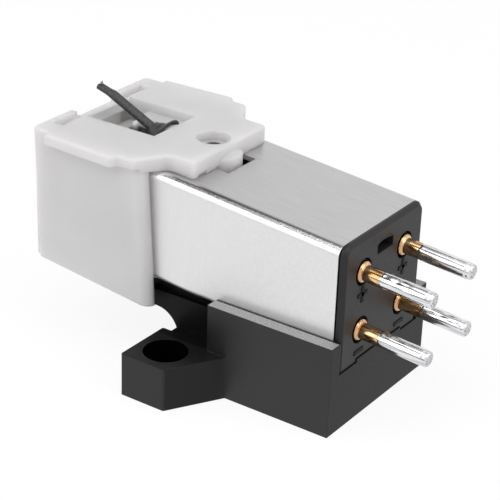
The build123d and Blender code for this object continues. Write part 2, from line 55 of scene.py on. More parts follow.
def linear(code: str) -> tuple[float, float, float, float]:
    """Turns an sRGB hex colour into the linear colour that shaders take.

    Args:
        code: Six hex digits with a leading hash.

    Returns:
        Linear red, green and blue, and full opacity.
    """
    channels = [int(code[i : i + 2], 16) / 255 for i in (1, 3, 5)]
    red, green, blue = [c / 12.92 if c <= 0.04045 else ((c + 0.055) / 1.055) ** 2.4 for c in channels]
    return red, green, blue, 1.0


def add_node(
    tree: bpy.types.NodeTree, kind: str, settings: dict[str | int, object] | None = None
) -> bpy.types.Node:
    """Adds one node with its settings and its incoming links.

    Args:
        tree: The node tree to add to.
        kind: Blender's name for the node type.
        settings: What each property or input socket gets, by name or by socket number: a value, a hex colour,
            or the output socket that feeds it.

    Returns:
        The new node.
    """
    node = tree.nodes.new(kind)
    for key, value in (settings or {}).items():
        if isinstance(key, str) and hasattr(node, key):
            setattr(node, key, value)
        elif isinstance(value, bpy.types.NodeSocket):
            tree.links.new(value, node.inputs[key])
        else:
            node.inputs[key].default_value = linear(value) if isinstance(value, str) else value
    return node


class Axis(Enum):
    """Direction that a drawn or brushed grain runs in, as how much it is stretched along X, Y and Z."""

    LENGTH = (0.03, 1.0, 1.0)
    HEIGHT = (1.0, 1.0, 0.05)


@dataclass(frozen=True)
class Finish:
    """A surface finish that can be built once as a node material."""

    name: str

    def material(self) -> bpy.types.Material:
        """Builds the finish as a material on its first use.

        Returns:
            The material, the same one each time.
        """
        known = bpy.data.materials.get(self.name)
        if known:
            return known
        made = bpy.data.materials.new(self.name)
        made.use_nodes = True
        tree = made.node_tree
        self.build(tree, tree.nodes["Principled BSDF"])
        return made

    def build(self, tree: bpy.types.NodeTree, shader: bpy.types.Node) -> None:
        """Sets the shader's sockets and adds the nodes that feed it; each finish has its own."""
        raise NotImplementedError

    def place(self, tree: bpy.types.NodeTree) -> bpy.types.NodeSocket:
        """Returns the point's place in the part's own frame, in millimetres."""
        where = add_node(tree, "ShaderNodeTexCoord").outputs["Object"]
        settings = {"operation": "SCALE", 0: where, "Scale": 1 / MM}
        return add_node(tree, "ShaderNodeVectorMath", settings).outputs[0]

    def grain(
        self,
        tree: bpy.types.NodeTree,
        place: bpy.types.NodeSocket,
        size_mm: float,
        detail: float = 2.0,
        stretch: tuple[float, float, float] = (1.0, 1.0, 1.0),
        rotation: tuple[float, float, float] = (0.0, 0.0, 0.0),
    ) -> bpy.types.NodeSocket:
        """Makes a noise whose features have a real size.

        Args:
            tree: The material's tree.
            place: The point in millimetres.
            size_mm: Size of a feature in millimetres.
            detail: Octaves of finer noise.
            stretch: Share of the frequency kept along X, Y and Z.
            rotation: Turn of the pattern in radians.

        Returns:
            The noise's value, about 0.5 on average.
        """
        turned = add_node(tree, "ShaderNodeMapping", {"Rotation": rotation, "Vector": place}).outputs[0]
        drawn = add_node(tree, "ShaderNodeMapping", {"Scale": stretch, "Vector": turned}).outputs[0]
        settings = {"Scale": 1 / size_mm, "Detail": detail, "Roughness": 0.55, "Vector": drawn}
        return add_node(tree, "ShaderNodeTexNoise", settings).outputs["Fac"]

    def soft_edge(
        self,
        tree: bpy.types.NodeTree,
        shader: bpy.types.Node,
        radius_mm: float,
        height: bpy.types.NodeSocket,
        depth_mm: float,
    ) -> None:
        """Rounds the sharp edges by a real radius and presses a height pattern into the surface.

        Args:
            tree: The material's tree.
            shader: The shader whose normal is set.
            radius_mm: Radius of the broken edge.
            height: Pattern that the surface carries.
            depth_mm: Depth of that pattern.
        """
        edge = add_node(tree, "ShaderNodeBevel", {"samples": 6, "Radius": radius_mm * MM}).outputs[0]
        settings = {"Strength": 1.0, "Distance": depth_mm * MM, "Height": height, "Normal": edge}
        tree.links.new(add_node(tree, "ShaderNodeBump", settings).outputs[0], shader.inputs["Normal"])


@dataclass(frozen=True)
class MouldedAbs(Finish):
    """ABS as it leaves a spark-eroded steel mould: matt, slightly grained, with softened edges.

    The pale one also lets the light in a little, by its depth of light.
    """

    colour: str = "#DAD8D9"
    shade: str = "#D2D0D1"
    roughness: float = 0.5
    rough_swing: float = 0.05
    cloud_mm: float = 2.4
    grain_mm: float = 0.12
    grain_depth_mm: float = 0.0016
    edge_mm: float = 0.09
    depth_of_light: float = 0.0
    reach_mm: float = 2.2
    sheen: float = 0.5

    def build(self, tree: bpy.types.NodeTree, shader: bpy.types.Node) -> None:
        """Dresses the shader as moulded plastic.

        Args:
            tree: The material's tree.
            shader: The shader to dress.
        """
        place = self.place(tree)
        cloud = self.grain(tree, place, self.cloud_mm, 1.0)
        fine = self.grain(tree, place, self.grain_mm, 3.0)
        tint = {"data_type": "RGBA", 0: cloud, FIRST: self.colour, SECOND: self.shade}
        tree.links.new(add_node(tree, "ShaderNodeMix", tint).outputs[MIXED], shader.inputs["Base Color"])
        low, high = self.roughness - self.rough_swing, self.roughness + self.rough_swing
        rough = {**NOISE_RANGE, "Value": fine, "To Min": low, "To Max": high}
        tree.links.new(add_node(tree, "ShaderNodeMapRange", rough).outputs[0], shader.inputs["Roughness"])
        shader.inputs["IOR"].default_value = 1.54
        shader.inputs["Specular IOR Level"].default_value = self.sheen
        if self.depth_of_light:
            shader.inputs["Subsurface Weight"].default_value = self.depth_of_light
            shader.inputs["Subsurface Radius"].default_value = (1.0, 0.95, 0.9)
            shader.inputs["Subsurface Scale"].default_value = self.reach_mm * MM
        self.soft_edge(tree, shader, self.edge_mm, fine, self.grain_depth_mm)


@dataclass(frozen=True)
class PolishedBase(MouldedAbs):
    """Black ABS from a polished mould, with a speckled pale grey painted reflection of the can on its ledge.

    Its tops, ears, rear and the part below the holder get painted shade from less gloss, its tops also from a
    darker colour, and the ears' holes, the part below the holder and its rear from a near-black colour.
    """

    ledge_mm: float = 5.36
    can_flank_mm: float = 4.09
    base_flank_mm: float = 4.85
    base_front_mm: float = 1.73
    hole_mm: float = 1.26
    hole_across_mm: float = 6.35
    # The ledge's pale speckled grey is a painted reflection of the can's flank.
    can_reflection_on_ledge: str = "#AEADAD"
    reflection_speck: str = "#7C7C7E"
    speck_mm: float = 0.08
    # Painted shade: darker tops, near-black holes, rear and part below the holder, and less gloss there and
    # on ears.
    dark: str = "#161617"
    painted_shade_colour: str = "#060606"
    dull_sheen: float = 0.16
    rear_dull: float = 0.95
    ahead_painted_shade: float = 0.7
    rear_painted_shade: float = 0.3

    def masks(self, tree: bpy.types.NodeTree) -> dict[str, bpy.types.NodeSocket]:
        """Finds where the point lies on the base and which way it faces.

        Args:
            tree: The material's tree.

        Returns:
            How far the point belongs to each place, by the place's name.
        """
        place = self.place(tree)
        normal = add_node(tree, "ShaderNodeNewGeometry").outputs["Normal"]
        facing = add_node(tree, "ShaderNodeSeparateXYZ", {0: normal}).outputs
        spot = add_node(tree, "ShaderNodeSeparateXYZ", {0: place}).outputs
        across = add_node(tree, "ShaderNodeMath", {"operation": "ABSOLUTE", 0: spot["Y"]}).outputs[0]
        settings = {"operation": "SUBTRACT", 0: across, 1: self.hole_across_mm}
        from_hole = add_node(tree, "ShaderNodeMath", settings).outputs[0]
        around = add_node(tree, "ShaderNodeCombineXYZ", {0: spot["X"], 1: from_hole}).outputs[0]
        radius = add_node(tree, "ShaderNodeVectorMath", {"operation": "LENGTH", 0: around}).outputs["Value"]
        speck = self.grain(tree, place, self.speck_mm, 4.0)
        found = {}
        for name, source, start, end, low, high in (
            ("up", facing["Z"], 0.7, 0.9, 0.0, 1.0),
            ("rear", facing["X"], 0.8, 0.95, 0.0, 1.0),
            ("high", spot["Z"], self.ledge_mm - 0.05, self.ledge_mm - 0.02, 0.0, 1.0),
            ("clear", across, self.can_flank_mm + 0.09, self.can_flank_mm + 0.12, 0.0, 1.0),
            ("ear", across, self.base_flank_mm, self.base_flank_mm + 0.4, 0.0, 0.4),
            ("ahead", spot["X"], self.base_front_mm - 0.4, self.base_front_mm - 0.05, 0.8, 0.0),
            ("inboard", across, self.base_flank_mm - 0.05, self.base_flank_mm + 0.05, 1.0, 0.0),
            ("hole", radius, self.hole_mm - 0.005, self.hole_mm + 0.005, 1.0, 0.0),
            ("speck", speck, 0.35, 0.65, 0.0, 1.0),
        ):
            settings = {"Value": source, "From Min": start, "From Max": end, "To Min": low, "To Max": high}
            found[name] = add_node(tree, "ShaderNodeMapRange", settings).outputs[0]
        for name, first, second in (
            ("ahead", "ahead", "inboard"),
            ("flat", "up", "high"),
            ("ledge", "flat", "clear"),
        ):
            settings = {"operation": "MULTIPLY", 0: found[first], 1: found[second]}
            found[name] = add_node(tree, "ShaderNodeMath", settings).outputs[0]
        return found

    def build(self, tree: bpy.types.NodeTree, shader: bpy.types.Node) -> None:
        """Dresses the shader as black plastic, with a painted reflection on its ledge and painted shade.

        Args:
            tree: The material's tree.
            shader: The shader to dress.
        """
        super().build(tree, shader)
        plain = shader.inputs["Base Color"].links[0].from_socket
        mask = self.masks(tree)
        # Less gloss on the tops, ears, rear, holes and the part below the holder paints shade there.
        dull, painted_shade_share = mask["up"], mask["hole"]
        for name in ("ear", "ahead"):
            dull = add_node(tree, "ShaderNodeMath", {"operation": "ADD", 0: mask[name], 1: dull}).outputs[0]
        settings = {"operation": "MULTIPLY_ADD", 0: mask["rear"], 1: self.rear_dull, 2: dull}
        dull = add_node(tree, "ShaderNodeMath", settings).outputs[0]
        for name, share in (("ahead", self.ahead_painted_shade), ("rear", self.rear_painted_shade)):
            settings = {"operation": "MULTIPLY_ADD", 0: mask[name], 1: share, 2: painted_shade_share}
            painted_shade_share = add_node(tree, "ShaderNodeMath", settings).outputs[0]
        settings = {"Value": dull, "To Min": self.sheen, "To Max": self.dull_sheen}
        shine = add_node(tree, "ShaderNodeMapRange", settings).outputs[0]
        settings = {"Value": painted_shade_share, "To Min": 1.0, "To Max": 0.0}
        lit = add_node(tree, "ShaderNodeMapRange", settings).outputs[0]
        shine = add_node(tree, "ShaderNodeMath", {"operation": "MULTIPLY", 0: shine, 1: lit}).outputs[0]
        tree.links.new(shine, shader.inputs["Specular IOR Level"])
        # Painted reflection of the can on the ledge, speckled.
        settings = {"data_type": "RGBA", 0: mask["speck"], FIRST: self.reflection_speck, SECOND: self.can_reflection_on_ledge}
        reflected_can = add_node(tree, "ShaderNodeMix", settings).outputs[MIXED]
        # Painted shade: a darker colour on the tops and near-black in the holes, on the rear and below the
        # holder.
        colour = plain
        for share, other in ((mask["up"], self.dark), (mask["ledge"], reflected_can), (painted_shade_share, self.painted_shade_colour)):
            settings = {"data_type": "RGBA", 0: share, FIRST: colour, SECOND: other}
            colour = add_node(tree, "ShaderNodeMix", settings).outputs[MIXED]
        tree.links.new(colour, shader.inputs["Base Color"])


@dataclass(frozen=True)
class DrawnCan(Finish):
    """Nickel-plated sheet, drawn and brushed, with burnished bends.

    The fine lines run lengthwise on top and upright on the flanks near the holder. They are drawn as coarse
    as they need to be to show.
    """

    colour: str = "#EAE9EA"
    shade: str = "#DCDBDC"
    # The top's colours are darker copies of the flanks': painted shade on the top.
    dim_top_colour: str = "#D6D5D6"
    dim_top_shade: str = "#B6B5B6"
    # Near-black on faces turned down: painted shade under the can.
    under: str = "#161616"
    tilt_deg: float = 5.0
    line_mm: float = 0.07
    mottle_mm: float = 0.16
    fizz_mm: float = 0.055
    bend_roughness: float = 0.14
    flat_roughness: float = 0.36
    bend_depth: float = 9.0
    flank_weight: float = 1.05
    edge_mm: float = 0.03
    line_depth_mm: float = 0.0012

    def build(self, tree: bpy.types.NodeTree, shader: bpy.types.Node) -> None:
        """Dresses the shader as brushed plating, with the grain of each face.

        Args:
            tree: The material's tree.
            shader: The shader to dress.
        """
        place = self.place(tree)
        turn = (0.0, math.radians(-self.tilt_deg), 0.0)
        along = self.grain(tree, place, self.line_mm, 2.0, Axis.LENGTH.value, turn)
        upright = self.grain(tree, place, self.line_mm, 2.0, Axis.HEIGHT.value, turn)
        mottle = self.grain(tree, place, self.mottle_mm, 3.0)
        normal = add_node(tree, "ShaderNodeNewGeometry").outputs["Normal"]
        facing = add_node(tree, "ShaderNodeSeparateXYZ", {0: normal}).outputs
        spot = add_node(tree, "ShaderNodeSeparateXYZ", {0: place}).outputs
        # The bends are where neither the top's nor the flank's normal is reached.
        side = add_node(tree, "ShaderNodeMath", {"operation": "ABSOLUTE", 0: facing["Y"]}).outputs[0]
        settings = {"operation": "MULTIPLY", 0: side, 1: self.flank_weight}
        side = add_node(tree, "ShaderNodeMath", settings).outputs[0]
        settings = {"operation": "MAXIMUM", 0: side, 1: facing["Z"]}
        steepest = add_node(tree, "ShaderNodeMath", settings).outputs[0]
        found = {}
        for name, source, start, end, low, high in (
            ("up", facing["Z"], 0.80, 0.97, 0.0, 1.0),
            ("down", facing["Z"], -0.45, -0.15, 1.0, 0.0),
            ("near_holder", spot["X"], -3.0, 3.2, 1.0, 0.0),
            ("rough", steepest, 0.92, 0.99, self.bend_roughness, self.flat_roughness),
            ("bend", steepest, 0.90, 0.985, self.bend_depth, 0.0),
        ):
            settings = {"Value": source, "From Min": start, "From Max": end, "To Min": low, "To Max": high}
            found[name] = add_node(tree, "ShaderNodeMapRange", settings).outputs[0]
        pattern = mottle
        for share, other in ((found["near_holder"], upright), (found["up"], along)):
            settings = {"data_type": "FLOAT", "Factor": share, "A": pattern, "B": other}
            pattern = add_node(tree, "ShaderNodeMix", settings).outputs[0]
        # The top gets the darker copies: painted shade.
        settings = {"data_type": "RGBA", 0: pattern, FIRST: self.dim_top_shade, SECOND: self.dim_top_colour}
        dim_lid = add_node(tree, "ShaderNodeMix", settings).outputs[MIXED]
        settings = {"data_type": "RGBA", 0: pattern, FIRST: self.shade, SECOND: self.colour}
        sheet = add_node(tree, "ShaderNodeMix", settings).outputs[MIXED]
        # Painted shade: the darker top and the near-black underside.
        for share, other in ((found["up"], dim_lid), (found["down"], self.under)):
            settings = {"data_type": "RGBA", 0: share, FIRST: sheet, SECOND: other}
            sheet = add_node(tree, "ShaderNodeMix", settings).outputs[MIXED]
        tree.links.new(sheet, shader.inputs["Base Color"])
        tree.links.new(found["rough"], shader.inputs["Roughness"])
        shader.inputs["Metallic"].default_value = 1.0
        fizz = self.grain(tree, place, self.fizz_mm, 4.0)
        settings = {"operation": "MULTIPLY_ADD", 0: fizz, 1: found["bend"], 2: pattern}
        pressed = add_node(tree, "ShaderNodeMath", settings).outputs[0]
        self.soft_edge(tree, shader, self.edge_mm, pressed, self.line_depth_mm)


@dataclass(frozen=True)
class PlatedMetal(Finish):
    """Turned or pressed metal under a thin plating: mirror-like with a faint turning grain."""

    colour: str = "#F0CDA0"
    shade: str = "#B88246"
    roughness: float = 0.12
    cloud_mm: float = 0.42
    grain_mm: float = 0.08
    grain_depth_mm: float = 0.0012
    edge_mm: float = 0.03

    def build(self, tree: bpy.types.NodeTree, shader: bpy.types.Node) -> None:
        """Dresses the shader as plated metal.

        Args:
            tree: The material's tree.
            shader: The shader to dress.
        """
        place = self.place(tree)
        fine = self.grain(tree, place, self.grain_mm, 3.0)
        # On the gold pins the darker cloud is painted dark reflection; on the other metals it is patchy tone.
        cloud = self.grain(tree, place, self.cloud_mm, 2.0, (0.4, 1.0, 1.0))
        settings = {"Value": cloud, "From Min": 0.4, "From Max": 0.6}
        cloud = add_node(tree, "ShaderNodeMapRange", settings).outputs[0]
        tint = {"data_type": "RGBA", 0: cloud, FIRST: self.colour, SECOND: self.shade}
        tree.links.new(add_node(tree, "ShaderNodeMix", tint).outputs[MIXED], shader.inputs["Base Color"])
        rough = {**NOISE_RANGE, "Value": fine, "To Min": self.roughness * 0.7, "To Max": self.roughness * 1.5}
        tree.links.new(add_node(tree, "ShaderNodeMapRange", rough).outputs[0], shader.inputs["Roughness"])
        shader.inputs["Metallic"].default_value = 1.0
        self.soft_edge(tree, shader, self.edge_mm, fine, self.grain_depth_mm)


@dataclass(frozen=True)
class TinnedPin(PlatedMetal):
    """Gold-plated brass pin dipped in solder.

    It has a warm mirror gloss at the root and is silvery with drawn streaks beyond the dip line, up to its
    sawn end.
    """

    dip_mm: float = 10.7
    end_mm: float = 13.85
    bead_mm: float = 9.76
    # A darker colour on the bead: painted reflection of dark surroundings.
    bead_dark_reflection: str = "#C9A27C"
    tin: str = "#EEEEF0"
    tin_shade: str = "#BCBCBF"
    end_shade: str = "#8E8E90"
    tin_roughness: float = 0.11
    end_roughness: float = 0.34
    streak_mm: float = 0.09
    sawn_mm: float = 0.055
    grit_mm: float = 0.05
    grit_depth_mm: float = 0.03
    streak_depth: float = 0.04

    def build(self, tree: bpy.types.NodeTree, shader: bpy.types.Node) -> None:
        """Dresses the shader as gold up to the dip line and as solder from there to the cut end.

        Args:
            tree: The material's tree.
            shader: The shader to dress.
        """
        super().build(tree, shader)
        gold = shader.inputs["Base Color"].links[0].from_socket
        gloss = shader.inputs["Roughness"].links[0].from_socket
        place = self.place(tree)
        along = add_node(tree, "ShaderNodeSeparateXYZ", {0: place}).outputs["X"]
        streak = self.grain(tree, place, self.streak_mm, 3.0, Axis.LENGTH.value)
        sawn = self.grain(tree, place, self.sawn_mm, 4.0)
        found = {}
        for name, source, start, end, low, high in (
            ("bead", along, self.bead_mm - 0.04, self.bead_mm + 0.04, 1.0, 0.0),
            ("dipped", along, self.dip_mm - 0.01, self.dip_mm + 0.01, 0.0, 1.0),
            ("cut", along, self.end_mm - 0.05, self.end_mm, 0.0, 1.0),
            ("streak", streak, 0.35, 0.6, 0.0, 1.0),
            ("sawn", sawn, 0.42, 0.58, 0.0, 1.0),
        ):
            settings = {"Value": source, "From Min": start, "From Max": end, "To Min": low, "To Max": high}
            found[name] = add_node(tree, "ShaderNodeMapRange", settings).outputs[0]
        coats = {"gold": gold, "sawn": self.end_shade, "solder": self.tin_shade}
        for coat, share, other in (
            # The bead's darker colour is painted reflection.
            ("gold", "bead", self.bead_dark_reflection),
            ("solder", "streak", self.tin),
            ("sawn", "sawn", self.tin),
            ("solder", "cut", "sawn"),
            ("gold", "dipped", "solder"),
        ):
            second = coats.get(other, other)
            settings = {"data_type": "RGBA", 0: found[share], FIRST: coats[coat], SECOND: second}
            coats[coat] = add_node(tree, "ShaderNodeMix", settings).outputs[MIXED]
        tree.links.new(coats["gold"], shader.inputs["Base Color"])
        for share, roughness in (("dipped", self.tin_roughness), ("cut", self.end_roughness)):
            settings = {"Value": found[share], "To Max": roughness}
            part = add_node(tree, "ShaderNodeMapRange", settings).outputs[0]
            gloss = add_node(tree, "ShaderNodeMath", {"operation": "MAXIMUM", 0: gloss, 1: part}).outputs[0]
        tree.links.new(gloss, shader.inputs["Roughness"])
        grit = self.grain(tree, place, self.grit_mm, 4.0)
        settings = {"operation": "MULTIPLY", 0: grit, 1: found["cut"]}
        pressed = add_node(tree, "ShaderNodeMath", settings).outputs[0]
        settings = {"operation": "MULTIPLY_ADD", 0: streak, 1: self.streak_depth, 2: pressed}
        drawn = add_node(tree, "ShaderNodeMath", settings).outputs[0]
        self.soft_edge(tree, shader, self.edge_mm, drawn, self.grit_depth_mm)


@dataclass(frozen=True)
class DarkArm(Finish):
    """Hard-anodised aluminium tube with a sanded graphite look: dark grey, fine pits, dull sheen."""

    colour: str = "#535151"
    shade: str = "#2C2B2B"
    pit_mm: float = 0.12
    pit_depth_mm: float = 0.006

    def build(self, tree: bpy.types.NodeTree, shader: bpy.types.Node) -> None:
        """Dresses the shader as dark anodised tube.

        Args:
            tree: The material's tree.
            shader: The shader to dress.
        """
        pits = self.grain(tree, self.place(tree), self.pit_mm, 4.0)
        share = add_node(tree, "ShaderNodeMapRange", {**NOISE_RANGE, "Value": pits}).outputs[0]
        tint = {"data_type": "RGBA", 0: share, FIRST: self.shade, SECOND: self.colour}
        tree.links.new(add_node(tree, "ShaderNodeMix", tint).outputs[MIXED], shader.inputs["Base Color"])
        rough = {**NOISE_RANGE, "Value": pits, "To Min": 0.38, "To Max": 0.55}
        tree.links.new(add_node(tree, "ShaderNodeMapRange", rough).outputs[0], shader.inputs["Roughness"])
        shader.inputs["Metallic"].default_value = 0.35
        self.soft_edge(tree, shader, 0.02, pits, self.pit_depth_mm)


@dataclass(frozen=True)
class CutDiamond(Finish):
    """Ground industrial diamond: smoky, very glossy and strongly bending the light."""

    colour: str = "#4A4D4F"
    mark_mm: float = 0.03

    def build(self, tree: bpy.types.NodeTree, shader: bpy.types.Node) -> None:
        """Dresses the shader as a clear stone with faint grinding marks.

        Args:
            tree: The material's tree.
            shader: The shader to dress.
        """
        marks = self.grain(tree, self.place(tree), self.mark_mm, 2.0)
        rough = {**NOISE_RANGE, "Value": marks, "To Min": 0.01, "To Max": 0.05}
        tree.links.new(add_node(tree, "ShaderNodeMapRange", rough).outputs[0], shader.inputs["Roughness"])
        shader.inputs["Base Color"].default_value = linear(self.colour)
        shader.inputs["IOR"].default_value = 2.42
        shader.inputs["Transmission Weight"].default_value = 0.35


@dataclass(frozen=True)
class WoundWire(Finish):
    """Enamelled copper wire in tight turns, drawn twice as coarse as its 0.05 mm, so that the turns show."""

    colour: str = "#B5642E"
    shade: str = "#6E3315"
    turn_mm: float = 0.10
    turn_depth_mm: float = 0.02
    # What Blender's wave repeats at when its scale is 1.
    wave_repeat: float = 0.314

    def build(self, tree: bpy.types.NodeTree, shader: bpy.types.Node) -> None:
        """Dresses the shader as a winding whose turns follow one another along X.

        Args:
            tree: The material's tree.
            shader: The shader to dress.
        """
        settings = {"wave_type": "BANDS", "bands_direction": "X", "Vector": self.place(tree)}
        settings |= {"Scale": self.wave_repeat / self.turn_mm, "Distortion": 0.4}
        turns = add_node(tree, "ShaderNodeTexWave", settings).outputs["Fac"]
        tint = {"data_type": "RGBA", 0: turns, FIRST: self.shade, SECOND: self.colour}
        tree.links.new(add_node(tree, "ShaderNodeMix", tint).outputs[MIXED], shader.inputs["Base Color"])
        shader.inputs["Metallic"].default_value = 1.0
        shader.inputs["Roughness"].default_value = 0.32
        self.soft_edge(tree, shader, 0.03, turns, self.turn_depth_mm)


PALE_ABS = MouldedAbs("pale_moulded_abs", edge_mm=0.13, depth_of_light=0.75)
GLOSSY_WHITE = MouldedAbs(
    "white_glossy_abs", colour="#F6F6F6", shade="#F0F0F0", roughness=0.12, edge_mm=0.08, sheen=1.0
)
BASE_ABS = PolishedBase(
    "polished_black_abs", colour="#19191B", shade="#151517", roughness=0.36, edge_mm=0.04, sheen=0.42
)
BLACK_ABS = MouldedAbs("black_moulded_abs", colour="#1A1A1B", shade="#151516", roughness=0.42, edge_mm=0.06)
GREY_ABS = MouldedAbs(
    "grey_moulded_abs",
    colour="#262628",
    shade="#202022",
    roughness=0.46,
    grain_depth_mm=0.003,
    edge_mm=0.08,
    sheen=0.25,
)
MARK_ABS = MouldedAbs("grey_raised_mark_abs", colour="#101011", shade="#0C0C0D", edge_mm=0.02, sheen=0.12)
BOOT_RUBBER = MouldedAbs(
    "moulded_boot_rubber", colour="#2A2A2B", shade="#1E1E1F", roughness=0.42, edge_mm=0.05
)
BOBBIN_ABS = MouldedAbs("red_moulded_bobbin", colour="#8E2A22", shade="#7C211B", roughness=0.45, edge_mm=0.04)
DAMPER_RUBBER = MouldedAbs(
    "butyl_damper_rubber", colour="#1E1E1F", shade="#171718", roughness=0.75, edge_mm=0.03
)
CAN_METAL = DrawnCan("brushed_nickel_can")
# The skin is solder all along, so its dip line and its cut lie off the part.
TIN = TinnedPin("solder_skin", dip_mm=0.0, end_mm=99.0)
HUB_METAL = PlatedMetal("turned_aluminium_hub", colour="#C9CACB", shade="#B9BABB", roughness=0.3)
CORE_METAL = PlatedMetal(
    "laminated_core_steel", colour="#9A9A9C", shade="#7F7F82", roughness=0.35, grain_mm=0.12
)
MAGNET_METAL = PlatedMetal("ground_magnet", colour="#8F9093", shade="#7C7D80", roughness=0.3)
ARM_METAL = DarkArm("dark_anodised_arm")
DIAMOND = CutDiamond("ground_diamond")
COPPER = WoundWire("enamelled_copper_winding")


def dress(node: str, finish: Finish) -> None:
    """Gives a CAD node its finish and reports it.

    Args:
        node: Name of the node.
        finish: The finish that it gets.
    """
    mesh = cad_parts[node].data
    mesh.materials.clear()
    mesh.materials.append(finish.material())
    LOG.info("%s is dressed as %s", node, finish.name)


def add_piece(name: str, form: bmesh.types.BMesh, finish: Finish, body: str) -> bpy.types.Object:
    """Turns a mesh form into a piece that rides on a CAD body.

    Args:
        name: Name of the piece.
        form: The mesh, in metres in the part's frame.
        finish: Its finish.
        body: The CAD body that it moves with.

    Returns:
        The new object.
    """
    mesh = bpy.data.meshes.new(name)
    bmesh.ops.recalc_face_normals(form, faces=form.faces)
    form.to_mesh(mesh)
    form.free()
    mesh.shade_smooth()
    mesh.materials.append(finish.material())
    piece = bpy.data.objects.new(name, mesh)
    bpy.context.scene.collection.objects.link(piece)
    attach(piece, body)
    LOG.info("%s is made with %d faces", name, len(mesh.polygons))
    return piece


def turned(
    profile: list[tuple[float, float]], foot: Vector, along: Vector, segments: int = 96
) -> bmesh.types.BMesh:
    """Turns a profile round an axis.

    Args:
        profile: Places along the axis and radii in millimetres; a radius of nought closes that end.
        foot: Origin of the axis in millimetres.
        along: Direction of the axis.
        segments: Facets round the axis.

    Returns:
        The turned form, in metres.
    """
    across = Vector((0, 1, 0))
    upward = along.cross(across)
    form = bmesh.new()
    rows = []
    for s, radius in profile:
        count = segments if radius else 1
        angles = [2 * math.pi * i / segments for i in range(count)]
        spokes = [across * math.cos(angle) + upward * math.sin(angle) for angle in angles]
        rows.append([form.verts.new((foot + along * s + spoke * radius) * MM) for spoke in spokes])
    for first, second in zip(rows, rows[1:]):
        for i in range(segments):
            j = (i + 1) % segments
            corners = [row[k % len(row)] for row, k in ((first, i), (first, j), (second, j), (second, i))]
            form.faces.new(list(dict.fromkeys(corners)))
    return form


@dataclass
class CanAndBase:
    """The mounting base, the shield can and the generator inside it."""

    levels: tuple[str, ...] = ("upper", "lower")
    sides: tuple[str, ...] = ("left", "right")

    def build(self) -> None:
        """Dresses the base, the can and what the can holds."""
        dress("body_base", BASE_ABS)
        dress("shield_can", CAN_METAL)
        dress("generator_nose", BLACK_ABS)
        for side in self.sides:
            dress(f"core_{side}", CORE_METAL)
            for level in self.levels:
                dress(f"bobbin_{level}_{side}", BOBBIN_ABS)
                dress(f"coil_{level}_{side}", COPPER)


